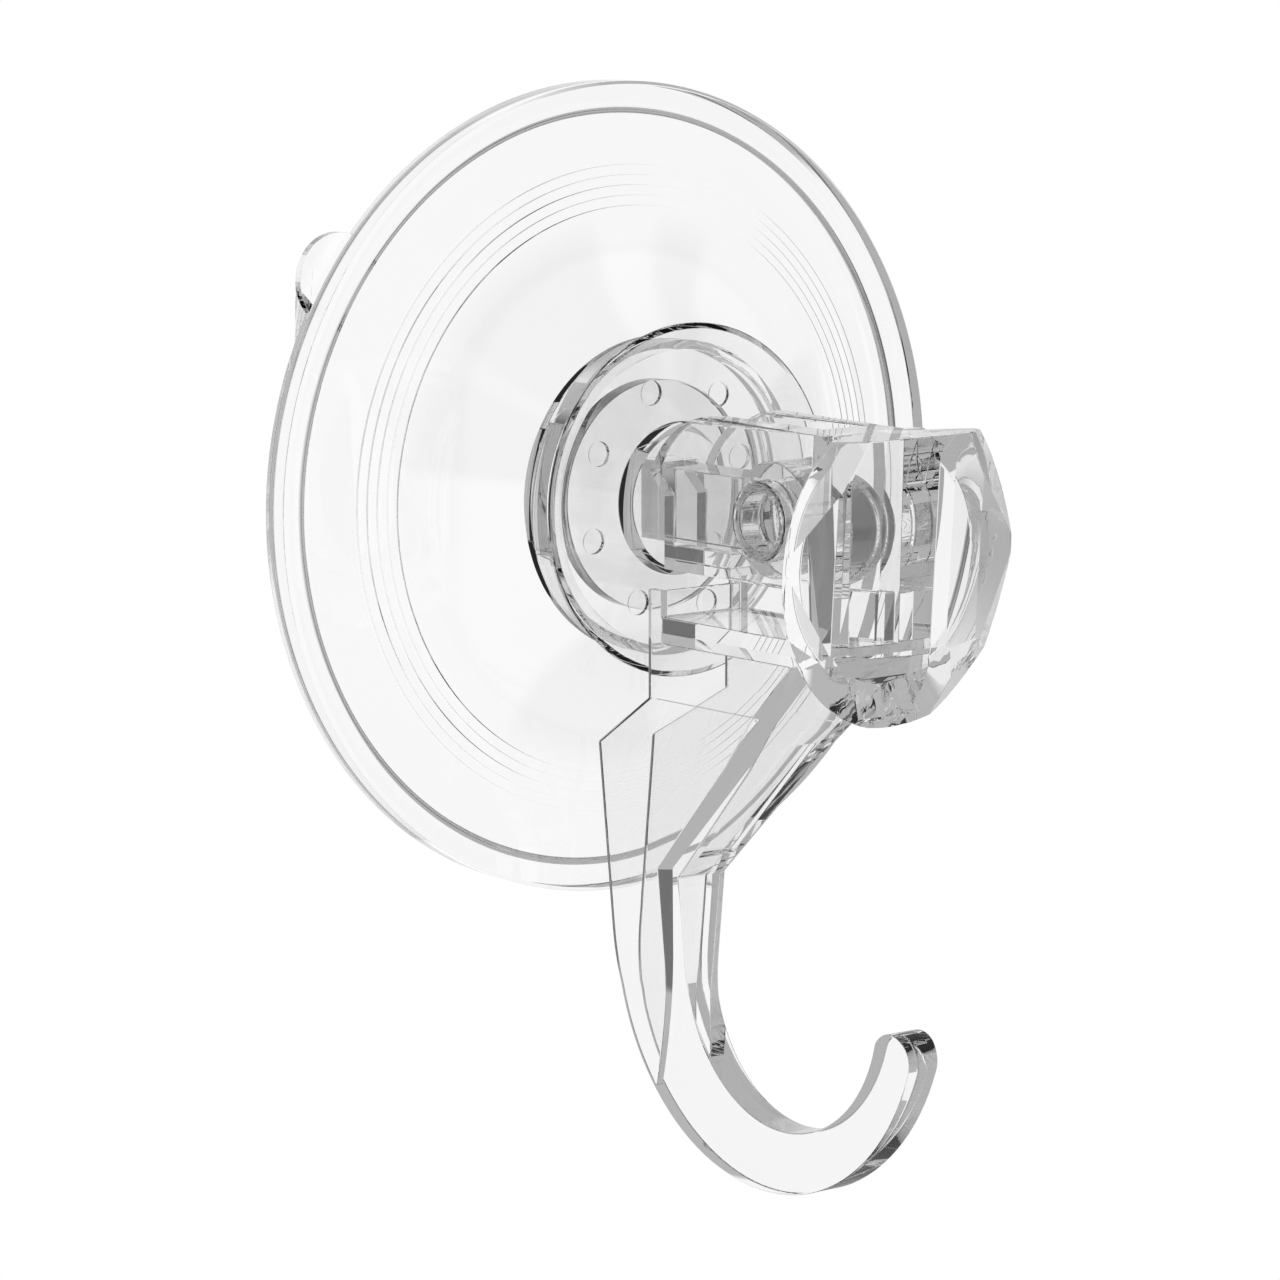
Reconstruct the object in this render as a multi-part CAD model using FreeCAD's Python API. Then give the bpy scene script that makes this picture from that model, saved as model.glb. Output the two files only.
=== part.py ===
import FreeCAD, Part
import math
import os

from FreeCAD import Vector

# Clear lever-lock suction cup hook, in millimetres.
# The wall is the plane y = 0, the hook stands out towards -Y, and +Z is up.
# The origin is the centre of the cup's back, on the wall. "out" is a distance from the wall.

# Soft cup
cup_radius = 42.5
rim_thickness = 3.9
rim_edge_radius = 0.35
lip_width = 2.1
lip_bevel = 0.9
ring_pitch = 1.04
ring_count = 5
ring_rise = 0.3
plateau_width = 3.74
bell_foot_radius = 26.0
bell_rise = 4.85
cup_wall = 2.2
hollow_rise = 4.8
hollow_inset = 1.1
boss_radius = 16.6
boss_height = 2.65
tab_angle = 145.0
tab_radius = 4.8
tab_inset = 1.5
tab_thickness = 0.9
press_gap = 0.05

# Rigid stud that bears on the hollow's roof and passes through the boss
foot_radius = 12.0
foot_thickness = 2.0
post_width = 5.2
post_height = 7.6
post_clearance = 0.3
eye_wall = 1.9
pin_reach = 18.0

# Dished washer with a raised hub that presses on the boss
washer_inset = 1.2
washer_flare = 2.9
washer_thickness = 0.8
washer_rim_height = 1.9
washer_rim_land = 0.6
washer_edge = 0.35
hub_radius = 8.0
hub_height = 1.4
hub_taper = 0.8
dimple_count = 8
dimple_diameter = 2.6
dimple_depth = 0.4
dimple_start_angle = 18.0

# Pin with a blind hole in each end
pin_radius = 4.0
pin_bore_radius = 3.0
pin_bore_depth = 3.0
pin_clearance = 0.05
pin_chamfer = 0.25

# Lever body
body_width = 11.5
slot_clearance = 0.3
slot_floor_gap = 0.3
seat_gap = 0.2
body_top = 9.7
top_rounding = 0.8
nose_out = 0.2
nose_height = 3.3
nose_curve = 0.62
nose_top_length = 8.2
cheek_step = 2.4
cheek_step_height = 1.2
cheek_cover = 0.5
upstand_length = 2.2
upstand_gap = 2.3
window_height = 5.0
window_front_gap = 2.4
shelf_thickness = 2.8
shelf_setback = 1.8
slot_end_gap = 0.75
bridge_thickness = 3.35

# Arm and J hook
shoulder_cover = 1.7
arm_clearance = 0.3
arm_top_width = 8.7
arm_end_width = 3.9
arm_end_drop = 52.0
hook_width = 3.5
arm_depth = 11.9
side_wall = 0.9
floor_thickness = 3.8
plate_thickness = 3.0
bend_drop = 38.9
diagonal_angle = 45.0
hook_outer_radius = 24.0
hook_centre_drop = 46.0
tip_depth = 6.0
hook_bottom_depth = 6.9
tip_inner_angle = 14.0
tip_outer_angle = 19.0
tip_roundness = 0.48
channel_end_angle = 43.0
panel_width = 4.4
panel_length = 18.5
panel_from_bend = 3.4
panel_depth = 0.5

# Faceted knob
knob_half_width = 14.7
knob_half_height = 16.7
knob_centre_drop = 3.15
knob_lean = 4.0
knob_back_depth = 4.3
girdle_width = 1.0
crown_height = 1.85
pavilion_inset = 5.2
strip_offsets = (4.6, 8.9)
strip_tilts = (7.3, 16.0)
lower_azimuths = (270.0, 232.0, 308.0, 205.0, 335.0)
lower_reaches = (8.3, 9.7, 9.7, 11.9, 11.9)
lower_tilts = (15.0, 15.0, 15.0, 18.0, 18.0)
bevel_azimuths = (24.0, 342.0, 314.0, 156.0, 198.0, 226.0, 270.0)
bevel_inset = 1.5
bevel_tilt = 34.0

# Places that follow from the sizes above
plateau = rim_thickness + ring_count * ring_rise
ring_outer_radius = bell_foot_radius + plateau_width + (ring_count - 1) * ring_pitch
bell_top = plateau + bell_rise
boss_front = bell_top + boss_height
hollow_foot = plateau - cup_wall
hollow_top = hollow_foot + hollow_rise
foot_front = hollow_top - press_gap
washer_back = boss_front + press_gap
washer_front = washer_back + washer_thickness
washer_back_radius = boss_radius - washer_inset
washer_rim_radius = washer_back_radius + washer_flare
dimple_circle_radius = (hub_radius + washer_back_radius) / 2
hub_front = washer_front + hub_height
washer_rim_front = washer_front + washer_rim_height
lever_back = washer_rim_front + seat_gap
pin_out = washer_rim_front + pin_reach
eye_radius = pin_radius + eye_wall
slot_width = post_width + 2 * slot_clearance
slot_end = pin_out + eye_radius + slot_end_gap
knob_back = slot_end + bridge_thickness
cheek_bottom = eye_radius + cheek_cover
shelf_drop = cheek_bottom + window_height
shoulder_top = washer_rim_radius + shoulder_cover
shoulder_bottom = bell_foot_radius
half_body = body_width / 2
arm_back = plateau + arm_clearance
arm_front = arm_back + arm_depth
mouth_radius = hook_outer_radius - (arm_depth + tip_depth) / 2


def arc(start, middle, end):
    return Part.Arc(start, middle, end).toShape()


def line(start, end):
    return Part.LineSegment(start, end).toShape()


def face_of(edges):
    return Part.Face(Part.Wire(edges))


def polygon_face(points):
    return Part.Face(Part.makePolygon(points + points[:1]))


def lathe_point(radius, out):
    return Vector(radius, -out, 0)


def turned(edges):
    return face_of(edges).revolve(Vector(0, 0, 0), Vector(0, 1, 0), 360)


def turned_polygon(pairs):
    points = [lathe_point(radius, out) for radius, out in pairs]
    return polygon_face(points).revolve(Vector(0, 0, 0), Vector(0, 1, 0), 360)


def side_point(out, height):
    return Vector(0, -out, height)


def across(face, width):
    # A side outline in the plane x = 0, given a width centred on that plane.
    moved = face.translated(Vector(-width / 2, 0, 0))
    return moved.extrude(Vector(width, 0, 0))


def side_box(width, out_from, out_to, low, high):
    corner = Vector(-width / 2, -out_to, low)
    return Part.makeBox(width, out_to - out_from, high - low, corner)


def disc(radius, out_from, out_to):
    return Part.makeCylinder(radius, out_to - out_from, Vector(0, -out_from, 0), Vector(0, -1, 0))


def pin_cylinder(radius, length):
    return Part.makeCylinder(radius, length, Vector(-length / 2, -pin_out, 0), Vector(1, 0, 0))


def bell_edge(foot_radius, roof_radius, foot_out, rise):
    # The bell leaves the flat plateau in a tangent arc and climbs to the boss.
    run = foot_radius - roof_radius
    turn = 2 * math.atan(rise / run)
    radius = run / math.sin(turn)
    middle = lathe_point(foot_radius - radius * math.sin(turn / 2),
                         foot_out + radius * (1 - math.cos(turn / 2)))
    return lathe_point(foot_radius, foot_out), middle, lathe_point(roof_radius, foot_out + rise)


def chain(points):
    return [line(first, second) for first, second in zip(points, points[1:])]


def suction_cup():
    # Front: rim, flat face, stepped rings, plateau, bell and boss.
    front = [lathe_point(cup_radius, rim_edge_radius),
             lathe_point(cup_radius, rim_thickness - rim_edge_radius),
             lathe_point(cup_radius - rim_edge_radius, rim_thickness),
             lathe_point(ring_outer_radius, rim_thickness)]
    out = rim_thickness
    radius = ring_outer_radius
    for step in range(ring_count):
        out += ring_rise
        front.append(lathe_point(radius, out))
        radius -= ring_pitch
        if step < ring_count - 1:
            front.append(lathe_point(radius, out))
    front.append(lathe_point(bell_foot_radius, plateau))
    front_bell = arc(*bell_edge(bell_foot_radius, boss_radius, plateau, bell_rise))
    boss = [lathe_point(boss_radius, bell_top),
            lathe_point(boss_radius, boss_front),
            lathe_point(0, boss_front)]
    # Back: the hollow under the bell, and the flat sealing lip.
    hollow_roof_radius = boss_radius - hollow_inset
    back = [lathe_point(0, boss_front),
            lathe_point(0, hollow_top),
            lathe_point(hollow_roof_radius, hollow_top)]
    back_bell = arc(*bell_edge(bell_foot_radius, hollow_roof_radius, hollow_foot, hollow_rise))
    lip = [lathe_point(bell_foot_radius, hollow_foot),
           lathe_point(cup_radius - lip_width - lip_bevel, lip_bevel),
           lathe_point(cup_radius - lip_width, 0),
           lathe_point(cup_radius - rim_edge_radius, 0),
           lathe_point(cup_radius, rim_edge_radius)]
    edges = chain(front) + [front_bell] + chain(boss) + chain(back) + [back_bell] + chain(lip)
    cup = turned(edges)
    return cup.cut(post_hole()).fuse(pull_tab()).removeSplitter()


def post_hole():
    return side_box(post_width + 2 * post_clearance, hollow_top - 1, hub_front + 1,
                    -post_height / 2 - post_clearance, post_height / 2 + post_clearance)


def pull_tab():
    # Thin half-round tab that lies against the wall and reaches past the rim.
    angle = math.radians(tab_angle)
    reach = cup_radius - tab_inset
    centre = Vector(reach * math.cos(angle), 0, reach * math.sin(angle))
    tab = Part.makeCylinder(tab_radius, tab_thickness, centre, Vector(0, -1, 0))
    inner = disc(cup_radius - lip_width / 2, 0, tab_thickness)
    return tab.cut(inner)


def core_stud():
    foot = disc(foot_radius, foot_front - foot_thickness, foot_front)
    post = side_box(post_width, foot_front - foot_thickness / 2, pin_out,
                    -post_height / 2, post_height / 2)
    eye = pin_cylinder(eye_radius, post_width)
    bore = pin_cylinder(pin_radius + pin_clearance, body_width)
    return foot.fuse(post).fuse(eye).cut(bore).removeSplitter()


def pressure_washer():
    # A flat floor with a flared rim and a raised hub, where the lever's nose bears.
    profile = [(0, washer_back),
               (washer_back_radius, washer_back),
               (washer_rim_radius, washer_rim_front - washer_edge),
               (washer_rim_radius, washer_rim_front),
               (washer_rim_radius - washer_rim_land, washer_rim_front),
               (washer_back_radius, washer_front),
               (hub_radius, washer_front),
               (hub_radius - hub_taper, hub_front),
               (0, hub_front)]
    washer = turned_polygon(profile).cut(post_hole())
    for index in range(dimple_count):
        angle = math.radians(dimple_start_angle + 360 / dimple_count * index)
        place = Vector(dimple_circle_radius * math.cos(angle), -washer_front - 1,
                       dimple_circle_radius * math.sin(angle))
        dimple = Part.makeCylinder(dimple_diameter / 2, dimple_depth + 1, place, Vector(0, 1, 0))
        washer = washer.cut(dimple)
    return washer


def pivot_pin():
    pin = pin_cylinder(pin_radius, body_width)
    rims = [edge for edge in pin.Edges if edge.Closed]
    pin = pin.makeChamfer(pin_chamfer, rims)
    web = pin_cylinder(pin_bore_radius, body_width - 2 * pin_bore_depth)
    return pin.cut(pin_cylinder(pin_bore_radius, body_width + 2)).fuse(web).removeSplitter()


def hook_centres():
    outer = side_point(arm_back + hook_outer_radius, -hook_centre_drop)
    low = hook_centre_drop + hook_outer_radius - hook_bottom_depth - mouth_radius
    inner = side_point(arm_front + mouth_radius, -low)
    return outer, inner


def on_circle(centre, radius, angle):
    # Angle 0 points away from the wall, and it grows downwards.
    turn = math.radians(angle)
    return centre + Vector(0, -radius * math.cos(turn), -radius * math.sin(turn))


def diagonal_at(height, offset):
    # Out-distance of the diagonal's front line at a height, moved inwards square to it.
    slope = math.radians(diagonal_angle)
    along = (height + bend_drop) / math.tan(slope)
    return arm_front + along - offset / math.sin(slope)


def lever_outline():
    outer, inner = hook_centres()
    nose_end = lever_back + nose_out
    step_out = nose_end + cheek_step
    body_front = knob_back + 2
    body_low = -shelf_drop
    tip_start = on_circle(inner, mouth_radius, tip_inner_angle)
    tip_end = on_circle(outer, hook_outer_radius, tip_outer_angle)
    chord = tip_end - tip_start
    tip_top = (tip_start + tip_end) * 0.5 + Vector(0, -chord.z, chord.y).multiply(-tip_roundness)
    top_rear = side_point(nose_end + nose_top_length, body_top)
    nose = side_point(nose_end, nose_height)
    nose_middle = side_point(nose_end + (1 - nose_curve) * nose_top_length,
                             nose_height + nose_curve * (body_top - nose_height))
    straight = [nose,
                side_point(step_out, cheek_step_height),
                side_point(step_out, -cheek_bottom),
                side_point(step_out, -cheek_bottom - upstand_gap),
                side_point(lever_back, -cheek_bottom - upstand_gap),
                side_point(lever_back, -shoulder_top),
                side_point(arm_back, -shoulder_bottom),
                side_point(arm_back, -hook_centre_drop)]
    front = [on_circle(inner, mouth_radius, 180),
             side_point(arm_front, -bend_drop),
             side_point(diagonal_at(body_low, 0), body_low),
             side_point(body_front, body_low),
             side_point(body_front, body_top),
             top_rear]
    return face_of([arc(top_rear, nose_middle, nose)]
                   + chain(straight)
                   + [arc(straight[-1], on_circle(outer, hook_outer_radius, 100), tip_end),
                      arc(tip_end, tip_top, tip_start),
                      arc(tip_start, on_circle(inner, mouth_radius, 95), front[0])]
                   + chain(front))


def front_outline():
    # Half widths at each height, as seen from the front.
    rows = [(body_top + 1, half_body),
            (-shoulder_top, half_body),
            (-shoulder_bottom, arm_top_width / 2),
            (-arm_end_drop, arm_end_width / 2),
            (-hook_centre_drop - hook_outer_radius - 1, hook_width / 2)]
    return rows


def front_prism(inset):
    rows = front_outline()
    right = [Vector(half - inset, 0, height) for height, half in rows]
    left = [Vector(inset - half, 0, height) for height, half in reversed(rows)]
    reach = knob_back + knob_half_height
    return polygon_face(right + left).extrude(Vector(0, -reach, 0))


def rounded_top(body):
    # The body's two long top edges are rounded over.
    rounds = []
    for side in (-1, 1):
        edge = side * half_body
        inner = edge - side * top_rounding
        low = body_top - top_rounding
        turn = top_rounding * math.sqrt(0.5)
        face = face_of([arc(Vector(edge, 0, low), Vector(inner + side * turn, 0, low + turn),
                            Vector(inner, 0, body_top)),
                        line(Vector(inner, 0, body_top), Vector(edge, 0, body_top)),
                        line(Vector(edge, 0, body_top), Vector(edge, 0, low))])
        rounds.append(face.extrude(Vector(0, -knob_back, 0)))
    for cutter in rounds:
        body = body.cut(cutter)
    return body


def channel():
    # The arm's hollow back, between the side walls, closed by the hook's own curve.
    outer, inner = hook_centres()
    roof = -shelf_drop - shelf_thickness
    floor_out = arm_front - floor_thickness
    floor_top = -bend_drop + (diagonal_at(-bend_drop, 0) - plate_thickness
                              / math.sin(math.radians(diagonal_angle)) - floor_out) * -1
    end = on_circle(outer, hook_outer_radius + 0.5, 180 - channel_end_angle)
    floor_low = side_point(floor_out, inner.z)
    middle = side_point(floor_out - 0.6, (inner.z + end.z) / 2)
    points = [side_point(0, roof),
              side_point(diagonal_at(roof, plate_thickness), roof),
              side_point(floor_out, floor_top),
              floor_low]
    closing = [end, side_point(0, end.z), side_point(0, roof)]
    face = face_of(chain(points) + [arc(floor_low, middle, end)] + chain(closing))
    return across(face, body_width).common(front_prism(side_wall))


def lever_openings():
    # The post's slot, the window under the cheeks, and the arm's channel.
    step_out = lever_back + nose_out + cheek_step
    slot = side_box(slot_width, 0, slot_end, -post_height / 2 - slot_floor_gap, body_top + 1)
    eye_space = side_box(slot_width, pin_out - eye_radius - slot_floor_gap, slot_end, -shelf_drop, 0)
    window = side_box(body_width + 2, lever_back + upstand_length, slot_end - window_front_gap,
                      -shelf_drop, -cheek_bottom)
    shelf_notch = side_box(body_width - 2 * side_wall, 0, lever_back + shelf_setback,
                           -shelf_drop - shelf_thickness, -cheek_bottom)
    gap = side_box(body_width + 2, 0, step_out, -cheek_bottom - upstand_gap, -cheek_bottom)
    bore = pin_cylinder(pin_radius + pin_clearance, body_width + 2)
    return [slot, eye_space, window, shelf_notch, gap, bore, channel(), name_panel()]


def name_panel():
    # Bare shallow recess along the diagonal front plate.
    slope = math.radians(diagonal_angle)
    along = Vector(0, -math.cos(slope), math.sin(slope))
    outward = Vector(0, -math.sin(slope), -math.cos(slope))
    corner = side_point(arm_front, -bend_drop) + along * panel_from_bend
    box = Part.makeBox(panel_width, panel_length, panel_depth + 1)
    box.translate(Vector(-panel_width / 2, 0, -panel_depth))
    turn = FreeCAD.Rotation(Vector(1, 0, 0), along, outward, "XYZ")
    box.Placement = FreeCAD.Placement(corner, turn).multiply(box.Placement)
    return box


def shave(solid, point, normal):
    # Cuts away all that lies beyond a plane.
    size = 4 * knob_half_height
    box = Part.makeBox(size, size, size, Vector(-size / 2, -size / 2, 0))
    box.Placement = FreeCAD.Placement(point, FreeCAD.Rotation(Vector(0, 0, 1), normal))
    return solid.cut(box)


def knob_blank(centre, girdle_back, girdle_front, table_out):
    # An oval disc with a smooth cone behind its rim, turned round and then drawn in sideways.
    profile = [(0, knob_back),
               (knob_half_height - pavilion_inset, knob_back),
               (knob_half_height, girdle_back),
               (knob_half_height, table_out),
               (0, table_out)]
    blank = turned_polygon(profile)
    squeeze = FreeCAD.Matrix()
    squeeze.scale(knob_half_width / knob_half_height, 1, 1)
    blank = blank.transformGeometry(squeeze)
    return blank.translated(centre)


def knob():
    # A crystal disc: a smooth oval rim, a crown of long upright facets with a fan of facets
    # below them, and broad facets round its edge. It leans a little and its top is cut flat.
    centre = Vector(0, 0, -knob_centre_drop)
    girdle_back = knob_back + knob_back_depth
    girdle_front = girdle_back + girdle_width
    table_out = girdle_front + crown_height
    body = knob_blank(centre, girdle_back, girdle_front, table_out)
    for reach, tilt in zip(strip_offsets, strip_tilts):
        lean = math.radians(tilt)
        drop = strip_drop(reach)
        for side in (-1, 1):
            normal = Vector(side * math.sin(lean), -math.cos(lean), 0)
            body = shave(body, Vector(side * reach, drop - table_out, 0), normal)
    for azimuth, reach, tilt in zip(lower_azimuths, lower_reaches, lower_tilts):
        body = shave(body, *rim_plane(centre, azimuth, reach, tilt, table_out))
    for azimuth in bevel_azimuths:
        direction = math.radians(azimuth)
        reach = math.hypot(knob_half_width * math.cos(direction), knob_half_height * math.sin(direction))
        body = shave(body, *rim_plane(centre, azimuth, reach - bevel_inset, bevel_tilt, girdle_front))
    body.rotate(centre + Vector(0, -girdle_front, 0), Vector(1, 0, 0), knob_lean)
    return shave(body, Vector(0, -girdle_back, body_top), Vector(0, 0, 1))


def strip_drop(reach):
    # How far an upright facet's inner edge lies behind the table.
    drop = 0.0
    for start, end, tilt in zip(strip_offsets, strip_offsets[1:], strip_tilts):
        if reach >= end:
            drop += (end - start) * math.tan(math.radians(tilt))
    return drop


def rim_plane(centre, azimuth, reach, tilt, out):
    direction = math.radians(azimuth)
    lean = math.radians(tilt)
    radial = Vector(math.cos(direction), 0, math.sin(direction))
    point = centre + radial * reach + Vector(0, -out, 0)
    return point, radial * math.sin(lean) + Vector(0, -math.cos(lean), 0)


def hook_lever():
    body = rounded_top(across(lever_outline(), body_width).common(front_prism(0)))
    for opening in lever_openings():
        body = body.cut(opening)
    return body.fuse(knob()).removeSplitter()


def main():
    os.makedirs("parts", exist_ok=True)
    pieces = {
        "suction_cup": suction_cup(),
        "core_stud": core_stud(),
        "pressure_washer": pressure_washer(),
        "pivot_pin": pivot_pin(),
        "hook_lever": hook_lever(),
    }
    for name, shape in pieces.items():
        print(name, shape.ShapeType, len(shape.Solids), shape.isValid(), round(shape.Volume, 2))
        shape.exportStep("parts/" + name + ".step")


main()
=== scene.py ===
import math

import bmesh
import bpy
from bpy.props import FloatProperty, FloatVectorProperty, IntProperty, PointerProperty, StringProperty
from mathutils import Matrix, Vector


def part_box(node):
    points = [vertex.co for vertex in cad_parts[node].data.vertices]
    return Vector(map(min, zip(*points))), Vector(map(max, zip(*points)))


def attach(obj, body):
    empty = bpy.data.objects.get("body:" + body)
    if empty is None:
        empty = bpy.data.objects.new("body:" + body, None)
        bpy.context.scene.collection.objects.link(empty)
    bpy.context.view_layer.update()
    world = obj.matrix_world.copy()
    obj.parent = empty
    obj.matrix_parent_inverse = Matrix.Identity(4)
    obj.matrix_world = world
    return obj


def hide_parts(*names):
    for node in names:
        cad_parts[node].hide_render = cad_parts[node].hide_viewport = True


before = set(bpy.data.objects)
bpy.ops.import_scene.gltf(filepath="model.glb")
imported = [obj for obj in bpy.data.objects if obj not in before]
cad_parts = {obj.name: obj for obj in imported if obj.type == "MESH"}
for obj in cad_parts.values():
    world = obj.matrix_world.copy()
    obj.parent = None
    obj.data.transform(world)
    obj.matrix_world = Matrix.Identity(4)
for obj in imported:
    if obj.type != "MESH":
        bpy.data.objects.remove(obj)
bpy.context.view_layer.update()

bl_info = {
    "name": "Clear suction cup hook",
    "version": (1, 0, 0),
    "blender": (4, 5, 0),
    "location": "View3D > Sidebar > Hook",
    "description": "Builds the looks of a clear suction cup hook around its packed solids",
    "category": "Object",
}

# The wall is the plane y = 0 and the hook stands out towards -Y. "out" is a distance from the wall.
MM = 0.001
CUP_LOW, CUP_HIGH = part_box("suction_cup")
WASHER_LOW, WASHER_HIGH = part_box("pressure_washer")


def length(label, mm, about):
    return FloatProperty(name=label, description=about, default=mm * MM, unit="LENGTH", subtype="DISTANCE")


class CupSizes(bpy.types.PropertyGroup):
    rim_thickness: length("Rim thickness", 3.9, "Thickness of the cup at its rim")
    rim_edge: length("Rim edge", 0.35, "Bevel on the rim's edges")
    lip_width: length("Lip width", 2.1, "Width of the flat sealing lip")
    lip_bevel: length("Lip rounding", 1.2, "Radius of the rounding inside the lip")
    ring_outer_radius: length("Ring radius", 33.9, "Radius of the outermost moulded step")
    ring_pitch: length("Ring pitch", 1.04, "Distance from one moulded step to the next")
    ring_rise: length("Ring rise", 0.3, "Height of one moulded step")
    ring_count: IntProperty(name="Rings", description="Number of moulded steps", default=5, min=1)
    bell_foot_radius: length("Bell foot", 26.0, "Radius where the bell leaves the flat face")
    bell_rise: length("Bell rise", 4.85, "Height of the bell")
    cup_wall: length("Wall", 2.2, "Wall of the cup under the rings")
    hollow_rise: length("Hollow rise", 4.8, "Height of the hollow's own bell")
    hollow_inset: length("Hollow inset", 1.1, "How far the hollow's roof stays inside the boss")
    boss_radius: length("Boss radius", 16.6, "Radius of the flat boss")
    tab_angle: FloatProperty(name="Tab angle", description="Place of the pull tab round the rim",
                             default=math.radians(145), unit="ROTATION", subtype="ANGLE")
    tab_radius: length("Tab radius", 4.8, "Radius of the pull tab")
    tab_inset: length("Tab inset", 1.5, "How far the tab's centre lies inside the rim")
    tab_thickness: length("Tab thickness", 0.9, "Thickness of the pull tab")
    hole_width: length("Post hole width", 5.8, "Width of the hole for the stud's post")
    hole_height: length("Post hole height", 8.2, "Height of the hole for the stud's post")
    edge: length("Edge rounding", 0.06, "Radius of the soft cup's moulded edges")
    ring_edge: length("Ring rounding", 0.02, "Radius of the moulded steps' edges")
    segments: IntProperty(name="Segments", description="Faces round the turned shapes", default=240, min=24)


class WasherSizes(bpy.types.PropertyGroup):
    thickness: length("Thickness", 0.8, "Thickness of the washer's floor")
    floor_radius: length("Floor radius", 15.4, "Radius where the rim flares out")
    rim_land: length("Rim land", 0.6, "Width of the flared rim's flat edge")
    rim_edge: length("Rim edge", 0.35, "Straight part of the flared rim")
    hub_radius: length("Hub radius", 8.0, "Radius of the raised hub at its foot")
    hub_height: length("Hub height", 1.4, "Height of the hub above the floor")
    hub_taper: length("Hub taper", 0.8, "How much the hub narrows towards its face")
    dimple_count: IntProperty(name="Dimples", description="Number of round dimples", default=8, min=1)
    dimple_diameter: length("Dimple diameter", 2.6, "Diameter of a dimple")
    dimple_depth: length("Dimple depth", 0.4, "Depth of a dimple")
    dimple_start: FloatProperty(name="First dimple", description="Angle of the first dimple",
                                default=math.radians(18), unit="ROTATION", subtype="ANGLE")
    edge: length("Edge rounding", 0.06, "Radius of the washer's moulded edges")


class LeverSizes(bpy.types.PropertyGroup):
    edge: length("Edge rounding", 0.12, "Radius of the rigid pieces' crisp edges")
    arm_edge: length("Arm edge rounding", 0.18, "Radius of the arm's softer edges")
    arm_top: length("Arm top", 20, "How far below the cup's centre the softer edges begin")


class Finishes(bpy.types.PropertyGroup):
    soft_tint: StringProperty(name="Soft plastic", description="sRGB hex tint of the soft clear plastic",
                              default="FFFFFF")
    soft_flow: StringProperty(name="Soft plastic flow", description="sRGB hex tint of its faint flow bands",
                              default="FEFEFE")
    # Painted reflection: this grey tint paints sectors on the bell that stand in for the studio lights
    # mirrored in it.
    soft_painted_reflection: StringProperty(name="Soft plastic streaks",
                                description="sRGB hex tint of its broad streaks", default="F7F7F7")
    rigid_tint: StringProperty(name="Rigid plastic", description="sRGB hex tint of the rigid clear plastic",
                               default="FFFFFF")
    rigid_flow: StringProperty(name="Rigid plastic flow",
                               description="sRGB hex tint of its faint flow bands", default="FDFDFD")
    # Painted shade: this grey darkens thick parts of the stud where little light comes through from behind.
    painted_shade: StringProperty(name="Stud smoke",
                          description="sRGB hex colour that thick parts of the stud take", default="C8C8C8")


class StageSizes(bpy.types.PropertyGroup):
    eye: FloatVectorProperty(name="Camera place", description="Where the camera stands",
                             default=(-366.98 * MM, -469.3 * MM, 73.24 * MM), unit="LENGTH",
                             subtype="TRANSLATION")
    azimuth: FloatProperty(name="Azimuth", description="Turn of the camera about the vertical",
                           default=math.radians(-38.46), unit="ROTATION", subtype="ANGLE")
    elevation: FloatProperty(name="Elevation", description="How far the camera looks down",
                             default=math.radians(8.56), unit="ROTATION", subtype="ANGLE")
    focal: FloatProperty(name="Focal length", description="Lens of the camera in millimetres",
                         default=160.6)
    floor_drop: length("Floor", 250, "How far the floor lies below the cup's centre")
    floor_size: length("Floor size", 700, "Side of the floor")


def linear(hex_colour):
    """sRGB hex to the linear colour a shader takes."""
    parts = [int(hex_colour[i:i + 2], 16) / 255 for i in (0, 2, 4)]
    return [c / 12.92 if c <= 0.04045 else ((c + 0.055) / 1.055) ** 2.4 for c in parts] + [1.0]


def node(tree, kind, links=(), **settings):
    """Adds a node. A setting that names an input sets its value, any other is an attribute."""
    made = tree.nodes.new(kind)
    for key, value in settings.items():
        if hasattr(made, key):
            setattr(made, key, value)
        else:
            made.inputs[key.replace("_", " ")].default_value = value
    for socket, source in links:
        tree.links.new(source, made.inputs[socket])
    return made


# Materials

# Painted reflection: the grey sectors run where the noise round the centre passes from the first value to
# the second.
PAINTED_REFLECTION_NOISE = (0.46, 0.52)
PAINTED_REFLECTION_SCALE = 1.9
# Radii between which the painted reflection fades out at the bell's foot.
PAINTED_REFLECTION_FULL = 26 * MM
PAINTED_REFLECTION_END = 30 * MM
# How strongly the stud's painted shade darkens per metre of plastic.
PAINTED_SHADE_PER_METRE = 70.0


def clear_plastic(name, tint, flow, ior, band_mm, wave_mm, wave_depth_mm):
    """Clear moulded plastic. Broad flow bands give it a faint unevenness, and shallow waves left by the
    mould bend what is seen through it a little, so it reads as plastic and not as optical glass."""
    material = bpy.data.materials.new(name)
    material.use_nodes = True
    tree = material.node_tree
    shader = tree.nodes["Principled BSDF"]
    shader.inputs["IOR"].default_value = ior
    shader.inputs["Roughness"].default_value = 0.0
    shader.inputs["Transmission Weight"].default_value = 1.0
    place = node(tree, "ShaderNodeTexCoord").outputs["Object"]
    bands = node(tree, "ShaderNodeTexNoise", [("Vector", place)], Scale=1 / (band_mm * MM), Detail=1.0)
    colour = node(tree, "ShaderNodeMix", [("Factor", bands.outputs["Fac"])], data_type="RGBA")
    colour.inputs[6].default_value = linear(tint)
    colour.inputs[7].default_value = linear(flow)
    tree.links.new(colour.outputs[2], shader.inputs["Base Color"])
    waves = node(tree, "ShaderNodeTexNoise", [("Vector", place)], Scale=1 / (wave_mm * MM), Detail=0.0)
    bump = node(tree, "ShaderNodeBump", [("Height", waves.outputs["Fac"])], Distance=wave_depth_mm * MM)
    tree.links.new(bump.outputs["Normal"], shader.inputs["Normal"])
    return material


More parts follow.
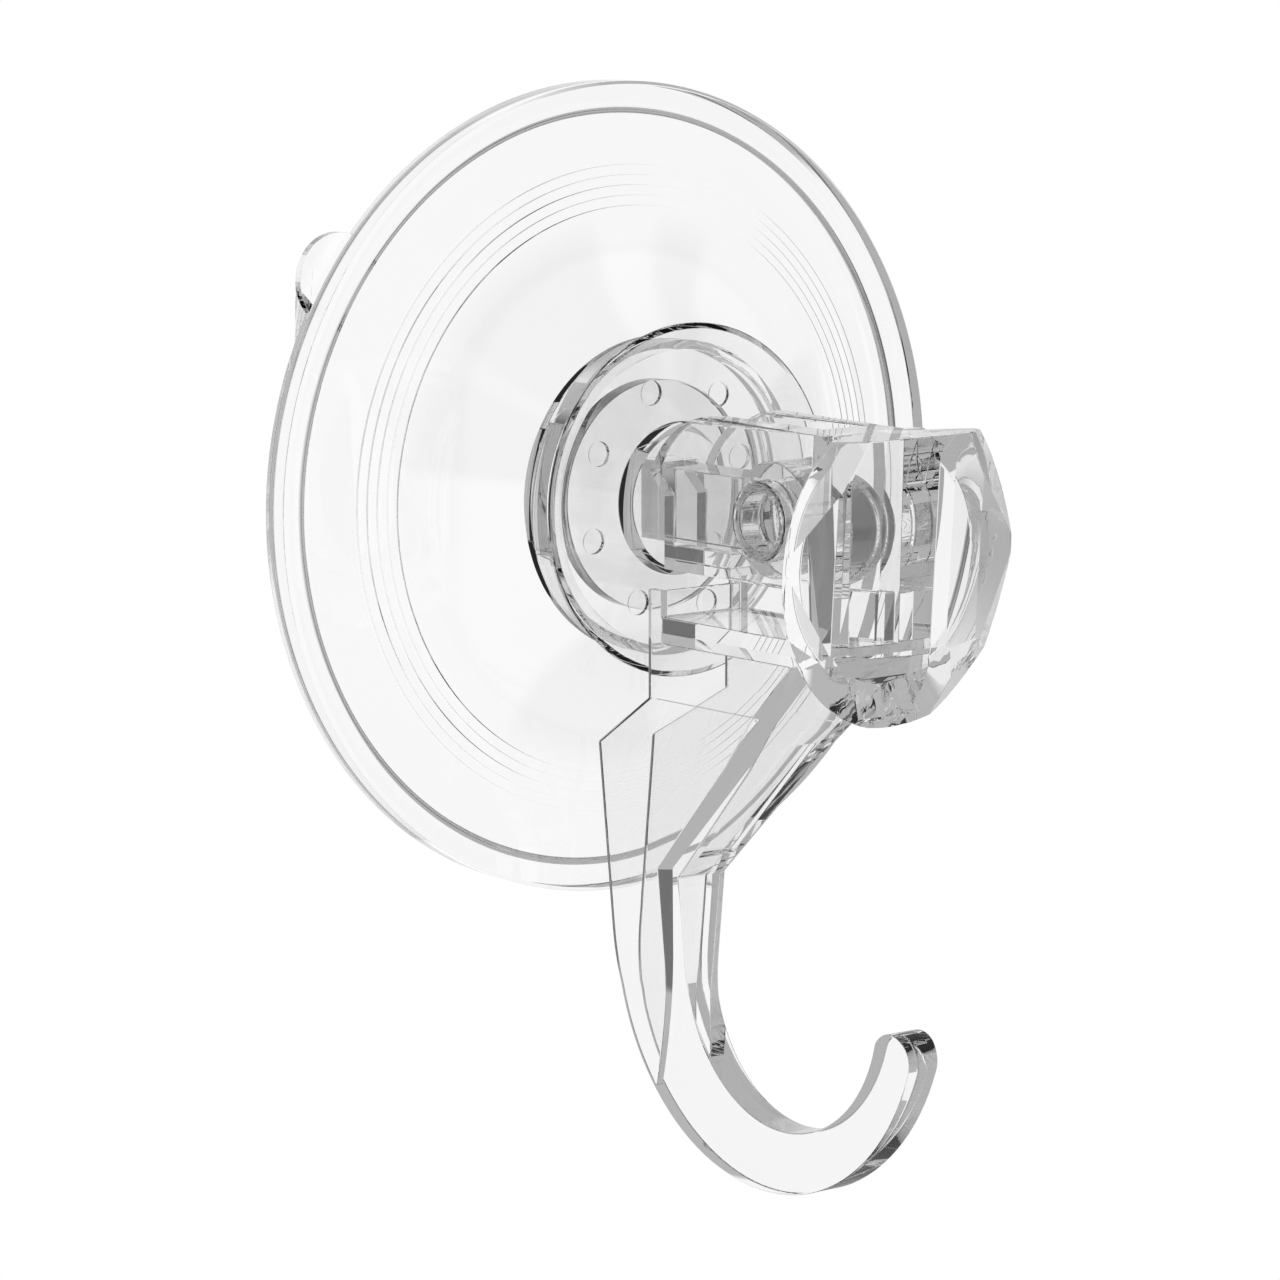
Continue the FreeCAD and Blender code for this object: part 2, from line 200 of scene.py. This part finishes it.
def soft_pvc(finishes):
    """Soft clear PVC, with painted reflection: soft grey sectors that run out from the centre over the bell
    stand in for the studio lights mirrored in the bell and are painted into its colour."""
    material = clear_plastic("moulded_soft_pvc_clear", finishes.soft_tint, finishes.soft_flow, ior=1.52,
                             band_mm=18, wave_mm=9, wave_depth_mm=0.01)
    tree = material.node_tree
    place = node(tree, "ShaderNodeTexCoord").outputs["Object"]
    across = node(tree, "ShaderNodeVectorMath", [(0, place)], operation="MULTIPLY")
    across.inputs[1].default_value = (1, 0, 1)
    reach = node(tree, "ShaderNodeVectorMath", [(0, across.outputs[0])], operation="LENGTH")
    heading = node(tree, "ShaderNodeVectorMath", [(0, across.outputs[0])], operation="NORMALIZE")
    spread = node(tree, "ShaderNodeTexNoise", [("Vector", heading.outputs[0])], Scale=PAINTED_REFLECTION_SCALE,
                  Detail=0.0)
    sector = node(tree, "ShaderNodeMapRange", [("Value", spread.outputs["Fac"])],
                  interpolation_type="SMOOTHSTEP", From_Min=PAINTED_REFLECTION_NOISE[0], From_Max=PAINTED_REFLECTION_NOISE[1])
    bell = node(tree, "ShaderNodeMapRange", [("Value", reach.outputs["Value"])],
                interpolation_type="SMOOTHSTEP", From_Min=PAINTED_REFLECTION_END, From_Max=PAINTED_REFLECTION_FULL)
    both = node(tree, "ShaderNodeMath", [(0, sector.outputs["Result"]), (1, bell.outputs["Result"])],
                operation="MULTIPLY")
    shader = tree.nodes["Principled BSDF"]
    even = shader.inputs["Base Color"].links[0].from_socket
    # Painted reflection: the grey tint is mixed into the colour over the bell's sectors.
    painted_reflection = node(tree, "ShaderNodeMix", [("Factor", both.outputs[0]), (6, even)], data_type="RGBA")
    painted_reflection.inputs[7].default_value = linear(finishes.soft_painted_reflection)
    tree.links.new(painted_reflection.outputs[2], shader.inputs["Base Color"])
    return material


def polycarbonate(finishes):
    """Injection-moulded polycarbonate: hard, bright and clear, with crisp grey edges."""
    return clear_plastic("moulded_polycarbonate_clear", finishes.rigid_tint, finishes.rigid_flow, ior=1.58,
                         band_mm=12, wave_mm=7, wave_depth_mm=0.003)


def polycarbonate_with_painted_shade(finishes):
    """Clear polycarbonate with painted shade: faintly grey where thick, where little light comes through.
    """
    material = clear_plastic("moulded_polycarbonate_painted_shade", finishes.rigid_tint, finishes.rigid_flow,
                             ior=1.58, band_mm=12, wave_mm=7, wave_depth_mm=0.003)
    tree = material.node_tree
    # Painted shade: an absorption greys the stud's thick parts.
    painted_shade = node(tree, "ShaderNodeVolumeAbsorption", Color=linear(finishes.painted_shade), Density=PAINTED_SHADE_PER_METRE)
    tree.links.new(painted_shade.outputs[0], tree.nodes["Material Output"].inputs["Volume"])
    return material


# Turned shapes, made by Geometry Nodes from a profile

# The two ends of a turned shape lie closer than this.
SEAM = 0.001 * MM
# Long enough to cut right through the cup.
CUTTER_LENGTH = 100 * MM
# Faces round a dimple or the tab, and round the cutter that trims the tab to the rim.
SMALL_ROUND = 64
TAB_TRIM_ROUND = 240
CUT = {"solver": "EXACT", "operation": "DIFFERENCE"}


def bell_arc(foot_radius, roof_radius, foot_out, rise, steps=28):
    """The arc that leaves the flat face and climbs to the roof."""
    run = foot_radius - roof_radius
    turn = 2 * math.atan(rise / run)
    radius = run / math.sin(turn)
    return [(foot_radius - radius * math.sin(turn * k / steps),
             foot_out + radius * (1 - math.cos(turn * k / steps))) for k in range(steps + 1)]


def lip_round(radius, size, steps=24):
    """The lip's inner edge, rounded as soft plastic leaves the mould."""
    turns = [math.pi / 2 * k / steps for k in range(steps + 1)]
    return [(radius - size * math.sin(turn), size - size * math.cos(turn)) for turn in turns]


def cup_profile(s):
    """Radius and out-distance from the boss's centre over the rim to the hollow's roof."""
    radius = CUP_HIGH.x
    boss_front = -CUP_LOW.y
    plateau = s.rim_thickness + s.ring_count * s.ring_rise
    hollow_foot = plateau - s.cup_wall
    points = [(0, boss_front), (s.boss_radius, boss_front)]
    points += reversed(bell_arc(s.bell_foot_radius, s.boss_radius, plateau, s.bell_rise))
    for step in reversed(range(s.ring_count)):
        ring = s.ring_outer_radius - step * s.ring_pitch
        top = s.rim_thickness + (step + 1) * s.ring_rise
        points += [(ring, top), (ring, top - s.ring_rise)]
    points += [(radius - s.rim_edge, s.rim_thickness),
               (radius, s.rim_thickness - s.rim_edge),
               (radius, s.rim_edge),
               (radius - s.rim_edge, 0),
               *lip_round(radius - s.lip_width, s.lip_bevel)]
    roof_radius = s.boss_radius - s.hollow_inset
    points += bell_arc(s.bell_foot_radius, roof_radius, hollow_foot, s.hollow_rise)
    return points + [(0, hollow_foot + s.hollow_rise)]


def washer_profile(s):
    """Radius and out-distance from the hub's centre over the flared rim to the back."""
    back = -WASHER_HIGH.y
    front = back + s.thickness
    rim_front = -WASHER_LOW.y
    rim_radius = WASHER_HIGH.x
    hub_front = front + s.hub_height
    return [(0, hub_front),
            (s.hub_radius - s.hub_taper, hub_front),
            (s.hub_radius, front),
            (s.floor_radius, front),
            (rim_radius - s.rim_land, rim_front),
            (rim_radius, rim_front),
            (rim_radius, rim_front - s.rim_edge),
            (s.floor_radius, back),
            (0, back)]


def new_tree(name, sockets):
    """A Geometry Nodes group with named inputs, and its input node."""
    tree = bpy.data.node_groups.new(name, "GeometryNodeTree")
    tree.interface.new_socket("Geometry", in_out="INPUT", socket_type="NodeSocketGeometry")
    for label, kind in sockets.items():
        tree.interface.new_socket(label, in_out="INPUT", socket_type="NodeSocket" + kind)
    tree.interface.new_socket("Geometry", in_out="OUTPUT", socket_type="NodeSocketGeometry")
    return tree, node(tree, "NodeGroupInput").outputs


def turned(tree, given):
    """The profile's points turned about the Y axis: a grid with one row to a point, wound round."""
    count = node(tree, "GeometryNodeAttributeDomainSize", [("Geometry", given["Geometry"])])
    columns = node(tree, "FunctionNodeIntegerMath", [(0, given["Segments"])], operation="ADD")
    columns.inputs[1].default_value = 1
    grid = node(tree, "GeometryNodeMeshGrid", [("Vertices X", count.outputs["Point Count"]),
                                               ("Vertices Y", columns.outputs[0])])
    index = node(tree, "GeometryNodeInputIndex").outputs[0]
    cell = [(0, index), (1, columns.outputs[0])]
    row = node(tree, "FunctionNodeIntegerMath", cell, operation="DIVIDE_FLOOR")
    column = node(tree, "FunctionNodeIntegerMath", cell, operation="MODULO")
    place = node(tree, "GeometryNodeInputPosition").outputs[0]
    point = node(tree, "GeometryNodeSampleIndex", [("Geometry", given["Geometry"]), ("Value", place),
                                                   ("Index", row.outputs[0])], data_type="FLOAT_VECTOR")
    share = node(tree, "ShaderNodeMath", [(0, column.outputs[0]), (1, given["Segments"])],
                 operation="DIVIDE")
    angle = node(tree, "ShaderNodeMath", [(0, share.outputs[0])], operation="MULTIPLY")
    angle.inputs[1].default_value = 2 * math.pi
    spun = node(tree, "ShaderNodeVectorRotate", [("Vector", point.outputs[0]), ("Angle", angle.outputs[0])],
                Axis=(0, 1, 0))
    wound = node(tree, "GeometryNodeSetPosition", [("Geometry", grid.outputs["Mesh"]),
                                                   ("Position", spun.outputs[0])])
    closed = node(tree, "GeometryNodeMergeByDistance", [("Geometry", wound.outputs[0])], Distance=SEAM)
    return node(tree, "GeometryNodeFlipFaces", [("Mesh", closed.outputs[0])]).outputs[0]


def cylinder_along_y(tree, links, faces=SMALL_ROUND):
    """A cylinder on the Y axis, its sizes linked to sockets. Where no depth is linked it cuts through."""
    made = node(tree, "GeometryNodeMeshCylinder", links, Vertices=faces, Depth=CUTTER_LENGTH)
    return node(tree, "GeometryNodeTransform", [("Geometry", made.outputs["Mesh"])],
                Rotation=(math.pi / 2, 0, 0)).outputs[0]


def turned_with_post_hole(tree, given):
    """The turned shape with a rectangular hole right through for the stud's post."""
    size = node(tree, "ShaderNodeCombineXYZ", [("X", given["Hole width"]), ("Z", given["Hole height"])],
                Y=CUTTER_LENGTH)
    block = node(tree, "GeometryNodeMeshCube", [("Size", size.outputs[0])])
    return node(tree, "GeometryNodeMeshBoolean", [("Mesh 1", turned(tree, given)),
                                                  ("Mesh 2", block.outputs["Mesh"])], **CUT).outputs["Mesh"]


def end_tree(tree, given, shape):
    """Realizes what the tree made and gives it its material."""
    whole = node(tree, "GeometryNodeRealizeInstances", [("Geometry", shape)])
    painted = node(tree, "GeometryNodeSetMaterial", [("Geometry", whole.outputs[0]),
                                                     ("Material", given["Material"])])
    node(tree, "NodeGroupOutput", [("Geometry", painted.outputs[0])])


def cup_tree():
    """The turned cup, its post hole, and the half-round pull tab past the rim."""
    tree, given = new_tree("turned_cup", {"Segments": "Int", "Hole width": "Float", "Hole height": "Float",
                                          "Tab place": "Vector", "Tab radius": "Float",
                                          "Tab thickness": "Float", "Tab start": "Float",
                                          "Material": "Material"})
    body = turned_with_post_hole(tree, given)
    disc = cylinder_along_y(tree, [("Radius", given["Tab radius"]), ("Depth", given["Tab thickness"])])
    placed = node(tree, "GeometryNodeTransform", [("Geometry", disc), ("Translation", given["Tab place"])])
    inner = cylinder_along_y(tree, [("Radius", given["Tab start"])], TAB_TRIM_ROUND)
    tab = node(tree, "GeometryNodeMeshBoolean", [("Mesh 1", placed.outputs[0]), ("Mesh 2", inner)], **CUT)
    joined = node(tree, "GeometryNodeMeshBoolean", [("Mesh 2", body), ("Mesh 2", tab.outputs["Mesh"])],
                  solver="EXACT", operation="UNION")
    end_tree(tree, given, joined.outputs["Mesh"])
    return tree


def washer_tree():
    """The turned washer with a ring of round dimples and the post hole."""
    tree, given = new_tree("dimpled_washer", {"Segments": "Int", "Hole width": "Float",
                                              "Hole height": "Float",
                                              "Dimples": "Int", "Dimple circle": "Float",
                                              "Dimple radius": "Float", "Dimple depth": "Float",
                                              "Dimple place": "Vector", "Dimple turn": "Vector",
                                              "Material": "Material"})
    body = turned_with_post_hole(tree, given)
    ring = node(tree, "GeometryNodeMeshCircle", [("Vertices", given["Dimples"]),
                                                 ("Radius", given["Dimple circle"])])
    upright = node(tree, "GeometryNodeTransform", [("Geometry", ring.outputs["Mesh"])],
                   Rotation=(math.pi / 2, 0, 0))
    placed = node(tree, "GeometryNodeTransform", [("Geometry", upright.outputs[0]),
                                                  ("Translation", given["Dimple place"]),
                                                  ("Rotation", given["Dimple turn"])])
    cutter = cylinder_along_y(tree, [("Radius", given["Dimple radius"]), ("Depth", given["Dimple depth"])])
    dimples = node(tree, "GeometryNodeInstanceOnPoints", [("Points", placed.outputs[0]),
                                                          ("Instance", cutter)])
    cutters = node(tree, "GeometryNodeRealizeInstances", [("Geometry", dimples.outputs[0])])
    dented = node(tree, "GeometryNodeMeshBoolean", [("Mesh 1", body), ("Mesh 2", cutters.outputs[0])],
                  **CUT)
    end_tree(tree, given, dented.outputs["Mesh"])
    return tree


def grown(name, profile, tree, inputs):
    """A plain mesh that a tree makes from a profile. The modifier's inputs are set by identifier."""
    mesh = bpy.data.meshes.new(name)
    mesh.from_pydata([(radius, -out, 0) for radius, out in profile], [], [])
    obj = bpy.data.objects.new(name, mesh)
    bpy.context.scene.collection.objects.link(obj)
    modifier = obj.modifiers.new(name, "NODES")
    modifier.node_group = tree
    for item in tree.interface.items_tree:
        if item.name in inputs:
            modifier[item.identifier] = inputs[item.name]
    replace_mesh(obj)
    if not obj.data.polygons:
        raise RuntimeError(name + " came out empty")
    return obj


def replace_mesh(obj):
    """Turns what the modifiers show into the object's own mesh and drops the modifiers."""
    bpy.context.view_layer.update()
    graph = bpy.context.evaluated_depsgraph_get()
    final = bpy.data.meshes.new_from_object(obj.evaluated_get(graph))
    obj.modifiers.clear()
    obj.data = final


# Rounded edges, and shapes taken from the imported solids

# Points closer than this are one point, and faces that turn by less than this are one face.
WELD = 0.002 * MM
SAME_PLANE = math.radians(0.3)
# Edges that turn by more than this are rounded, except this near the wall, where the lip seals.
ROUNDED_FROM = math.radians(25)
WALL_MARGIN = 0.05 * MM
# Faces that meet at more than this look crisp. The arm's long curves are smooth up to the second angle.
CRISP_DEGREES = 4.5
ARM_CRISP_DEGREES = 35


def bare_copy(cad_node, name):
    """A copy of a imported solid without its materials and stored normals."""
    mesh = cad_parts[cad_node].data.copy()
    mesh.name = name
    mesh.materials.clear()
    obj = bpy.data.objects.new(name, mesh)
    bpy.context.scene.collection.objects.link(obj)
    if mesh.has_custom_normals:
        with bpy.context.temp_override(object=obj, active_object=obj, selected_objects=[obj]):
            bpy.ops.mesh.customdata_custom_splitnormals_clear()
    return obj


def join_faces(obj, radius_at, widest, shortest):
    """Welds the points, joins triangles that lie in one plane, drops edges too short to round and
    weights the others by the radius wanted at their middle."""
    shape = bmesh.new()
    shape.from_mesh(obj.data)
    bmesh.ops.remove_doubles(shape, verts=shape.verts, dist=WELD)
    bmesh.ops.dissolve_limit(shape, angle_limit=SAME_PLANE, verts=shape.verts, edges=shape.edges)
    if shortest:
        bmesh.ops.dissolve_degenerate(shape, dist=shortest, edges=shape.edges)
    weight = shape.edges.layers.float.new("bevel_weight_edge")
    for line in shape.edges:
        if line.calc_face_angle(0) > ROUNDED_FROM:
            line[weight] = radius_at((line.verts[0].co + line.verts[1].co) / 2) / widest
    shape.to_mesh(obj.data)
    shape.free()


def round_edges(obj, radius_at, widest, crisp_at=lambda place: CRISP_DEGREES, shortest=0):
    """Rounds the moulded edges by the radius wanted at each. Faces that meet at more than the angle
    wanted there stay crisp, and edges under the shortest length are dropped first."""
    join_faces(obj, radius_at, widest, shortest)
    bevel = obj.modifiers.new("edges", "BEVEL")
    bevel.width = widest
    bevel.segments = 2
    bevel.limit_method = "WEIGHT"
    bevel.use_clamp_overlap = False
    replace_mesh(obj)
    obj.data.shade_smooth()
    shape = bmesh.new()
    shape.from_mesh(obj.data)
    for line in shape.edges:
        crisp = crisp_at((line.verts[0].co + line.verts[1].co) / 2)
        line.smooth = line.calc_face_angle(0) < math.radians(crisp)
    shape.to_mesh(obj.data)
    shape.free()
    flat = obj.modifiers.new("flat faces stay flat", "WEIGHTED_NORMAL")
    flat.keep_sharp = True
    flat.weight = 100
    replace_mesh(obj)


def finish_piece(obj, cad_node, body, material):
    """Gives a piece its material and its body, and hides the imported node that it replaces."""
    obj.data.materials.clear()
    obj.data.materials.append(material)
    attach(obj, body)
    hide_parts(cad_node)


class BuildCup(bpy.types.Operator):
    """Soft clear cup with its rings, bell, boss and pull tab"""
    bl_idname = "hook.build_cup"
    bl_label = "Build cup"

    def execute(self, context):
        s = context.scene.cup_sizes
        material = soft_pvc(context.scene.finishes)
        reach = CUP_HIGH.x - s.tab_inset
        place = (reach * math.cos(s.tab_angle), -s.tab_thickness / 2, reach * math.sin(s.tab_angle))
        cup = grown("soft_cup", cup_profile(s), cup_tree(),
                    {"Segments": s.segments, "Hole width": s.hole_width, "Hole height": s.hole_height,
                     "Tab place": place, "Tab radius": s.tab_radius, "Tab thickness": s.tab_thickness,
                     "Tab start": CUP_HIGH.x - s.lip_width / 2, "Material": material})
        round_edges(cup, lambda place: self.radius_at(place, s), s.edge)
        finish_piece(cup, "suction_cup", "cup", material)
        return {"FINISHED"}

    def radius_at(self, place, s):
        """Crisp steps, no rounding in the wall's plane, and soft edges elsewhere."""
        if -place.y < WALL_MARGIN:
            return 0
        inner = s.ring_outer_radius - s.ring_count * s.ring_pitch
        on_steps = inner < math.hypot(place.x, place.z) < s.ring_outer_radius + s.ring_pitch
        return s.ring_edge if on_steps and -place.y > s.cup_wall else s.edge


class BuildWasher(bpy.types.Operator):
    """Dished washer with a raised hub and a ring of dimples"""
    bl_idname = "hook.build_washer"
    bl_label = "Build washer"

    def execute(self, context):
        cup, s = context.scene.cup_sizes, context.scene.washer_sizes
        material = polycarbonate(context.scene.finishes)
        front = -WASHER_HIGH.y + s.thickness
        washer = grown("washer", washer_profile(s), washer_tree(),
                       {"Segments": cup.segments, "Hole width": cup.hole_width,
                        "Hole height": cup.hole_height,
                        "Dimples": s.dimple_count, "Dimple circle": (s.hub_radius + s.floor_radius) / 2,
                        "Dimple radius": s.dimple_diameter / 2, "Dimple depth": 2 * s.dimple_depth,
                        "Dimple place": (0, -front, 0), "Dimple turn": (0, -s.dimple_start, 0),
                        "Material": material})
        round_edges(washer, lambda place: s.edge, s.edge)
        finish_piece(washer, "pressure_washer", "cup", material)
        return {"FINISHED"}


class BuildStud(bpy.types.Operator):
    """Stud and pivot pin that carry the lever"""
    bl_idname = "hook.build_stud"
    bl_label = "Build stud and pin"

    def execute(self, context):
        sizes = context.scene.lever_sizes
        material = polycarbonate_with_painted_shade(context.scene.finishes)
        for cad_node, name in (("core_stud", "stud"), ("pivot_pin", "pin")):
            piece = bare_copy(cad_node, name)
            round_edges(piece, lambda place: sizes.edge, sizes.edge)
            finish_piece(piece, cad_node, "stud", material)
        return {"FINISHED"}


class BuildLever(bpy.types.Operator):
    """Swing lever with its arm, J hook and faceted knob"""
    bl_idname = "hook.build_lever"
    bl_label = "Build lever"

    def execute(self, context):
        sizes = context.scene.lever_sizes
        material = polycarbonate(context.scene.finishes)
        lever = bare_copy("hook_lever", "lever")
        round_edges(lever, lambda place: sizes.arm_edge if place.z < -sizes.arm_top else sizes.edge,
                    sizes.arm_edge,
                    lambda place: ARM_CRISP_DEGREES if place.z < -sizes.arm_top else CRISP_DEGREES,
                    shortest=sizes.edge)
        finish_piece(lever, "hook_lever", "lever", material)
        return {"FINISHED"}


# The stage

ROOM_TONE = "B6B6B6"
# Each wall: its tone, its azimuth from +Y towards +X, its full and faded half-width in degrees, and
# its lower and upper edge as the height of a direction's unit vector.
WALLS = (("FFFFFF", 38.5, 40, 50, -0.5, 0.5),
         ("B0B0B0", -38.5, 35, 50, -2, 2),
         ("626262", 141.5, 30, 50, -0.24, 0.06))
# A wall's lower and upper edges fade over this height to either side.
WALL_FADE = 0.04
# How much of the floor's own shade the camera doesn't see, so that only a trace of shadow is left.
FLOOR_WHITE = 0.85


class BuildStage(bpy.types.Operator):
    """Camera, floor and soft studio light"""
    bl_idname = "hook.build_stage"
    bl_label = "Build stage"

    def execute(self, context):
        sizes = context.scene.stage_sizes
        camera = bpy.data.objects.new("camera", bpy.data.cameras.new("camera"))
        context.scene.collection.objects.link(camera)
        camera.data.sensor_width = 36
        camera.data.lens = sizes.focal
        camera.data.clip_start = 0.01
        camera.location = sizes.eye
        a, e = sizes.azimuth, sizes.elevation
        forward = Vector((-math.sin(a) * math.cos(e), math.cos(a) * math.cos(e), -math.sin(e)))
        camera.rotation_euler = forward.to_track_quat("-Z", "Y").to_euler()
        context.scene.camera = camera
        self.world(context.scene)
        self.floor(context.scene, sizes)
        context.scene.view_settings.view_transform = "Standard"
        # Light that is caught between clear faces needs more turns than usual before it comes out.
        context.scene.cycles.max_bounces = 32
        context.scene.cycles.transmission_bounces = 32
        context.scene.cycles.glossy_bounces = 12
        return {"FINISHED"}

    def world(self, scene):
        """A light grey room with a white wall behind the set, a greyer wall on the left and a dark one at
        the front right, as clear plastic is lit to show its edges. The camera itself sees plain white."""
        world = bpy.data.worlds.new("pale studio")
        scene.world = world
        world.use_nodes = True
        tree = world.node_tree
        tree.nodes.clear()
        where = node(tree, "ShaderNodeTexCoord").outputs["Generated"]
        height = node(tree, "ShaderNodeSeparateXYZ", [("Vector", where)]).outputs["Z"]
        room = node(tree, "ShaderNodeRGB")
        room.outputs[0].default_value = linear(ROOM_TONE)
        colour = room.outputs[0]
        for tone, azimuth, inner, outer, low, high in WALLS:
            turn = math.radians(azimuth)
            aim = node(tree, "ShaderNodeVectorMath", [(0, where)], operation="DOT_PRODUCT")
            aim.inputs[1].default_value = (math.sin(turn), math.cos(turn), 0)
            across = node(tree, "ShaderNodeMapRange", [("Value", aim.outputs["Value"])],
                          From_Min=math.cos(math.radians(outer)), From_Max=math.cos(math.radians(inner)))
            above = node(tree, "ShaderNodeMapRange", [("Value", height)],
                         From_Min=low - WALL_FADE, From_Max=low + WALL_FADE)
            below = node(tree, "ShaderNodeMapRange", [("Value", height)],
                         From_Min=high + WALL_FADE, From_Max=high - WALL_FADE)
            upright = node(tree, "ShaderNodeMath", [(0, above.outputs["Result"]),
                                                    (1, below.outputs["Result"])], operation="MULTIPLY")
            share = node(tree, "ShaderNodeMath", [(0, across.outputs["Result"]), (1, upright.outputs[0])],
                         operation="MULTIPLY")
            mix = node(tree, "ShaderNodeMix", [("Factor", share.outputs[0]), (6, colour)], data_type="RGBA")
            mix.inputs[7].default_value = linear(tone)
            colour = mix.outputs[2]
        path = node(tree, "ShaderNodeLightPath")
        seen = node(tree, "ShaderNodeMix", [("Factor", path.outputs["Is Camera Ray"]), (6, colour)],
                    data_type="RGBA")
        seen.inputs[7].default_value = linear("FFFFFF")
        light = node(tree, "ShaderNodeBackground", [("Color", seen.outputs[2])], Strength=1.0)
        node(tree, "ShaderNodeOutputWorld", [("Surface", light.outputs[0])])

    def floor(self, scene, sizes):
        """Matt white paper, which the camera sees as nearly plain white."""
        mesh = bpy.data.meshes.new("floor")
        r, z = sizes.floor_size / 2, -sizes.floor_drop
        mesh.from_pydata([(-r, -r, z), (r, -r, z), (r, r, z), (-r, r, z)], [], [(0, 1, 2, 3)])
        floor = bpy.data.objects.new("floor", mesh)
        scene.collection.objects.link(floor)
        paper = bpy.data.materials.new("matt_white_paper")
        paper.use_nodes = True
        tree = paper.node_tree
        matt = tree.nodes["Principled BSDF"]
        matt.inputs["Base Color"].default_value = linear("F4F4F4")
        matt.inputs["Roughness"].default_value = 0.8
        path = node(tree, "ShaderNodeLightPath")
        share = node(tree, "ShaderNodeMath", [(0, path.outputs["Is Camera Ray"])], operation="MULTIPLY")
        share.inputs[1].default_value = FLOOR_WHITE
        plain = node(tree, "ShaderNodeEmission", Color=linear("FFFFFF"), Strength=1.0)
        seen = node(tree, "ShaderNodeMixShader", [(0, share.outputs[0]), (1, matt.outputs[0]),
                                                  (2, plain.outputs[0])])
        tree.links.new(seen.outputs[0], tree.nodes["Material Output"].inputs["Surface"])
        mesh.materials.append(paper)


class HookPanel(bpy.types.Panel):
    """Lists what builds the hook"""
    bl_idname = "VIEW3D_PT_hook"
    bl_label = "Suction cup hook"
    bl_space_type = "VIEW_3D"
    bl_region_type = "UI"
    bl_category = "Hook"

    def draw(self, context):
        for operator in OPERATORS:
            self.layout.operator(operator.bl_idname)


GROUPS = {"cup_sizes": CupSizes, "washer_sizes": WasherSizes, "lever_sizes": LeverSizes,
          "finishes": Finishes, "stage_sizes": StageSizes}
OPERATORS = (BuildCup, BuildWasher, BuildStud, BuildLever, BuildStage)


def register():
    for made in (*GROUPS.values(), *OPERATORS, HookPanel):
        bpy.utils.register_class(made)
    for name, group in GROUPS.items():
        setattr(bpy.types.Scene, name, PointerProperty(type=group))


def unregister():
    for name in GROUPS:
        delattr(bpy.types.Scene, name)
    for made in reversed((*GROUPS.values(), *OPERATORS, HookPanel)):
        bpy.utils.unregister_class(made)


def main():
    register()
    bpy.ops.hook.build_cup()
    bpy.ops.hook.build_washer()
    bpy.ops.hook.build_stud()
    bpy.ops.hook.build_lever()
    bpy.ops.hook.build_stage()


if __name__ == "__main__":
    main()
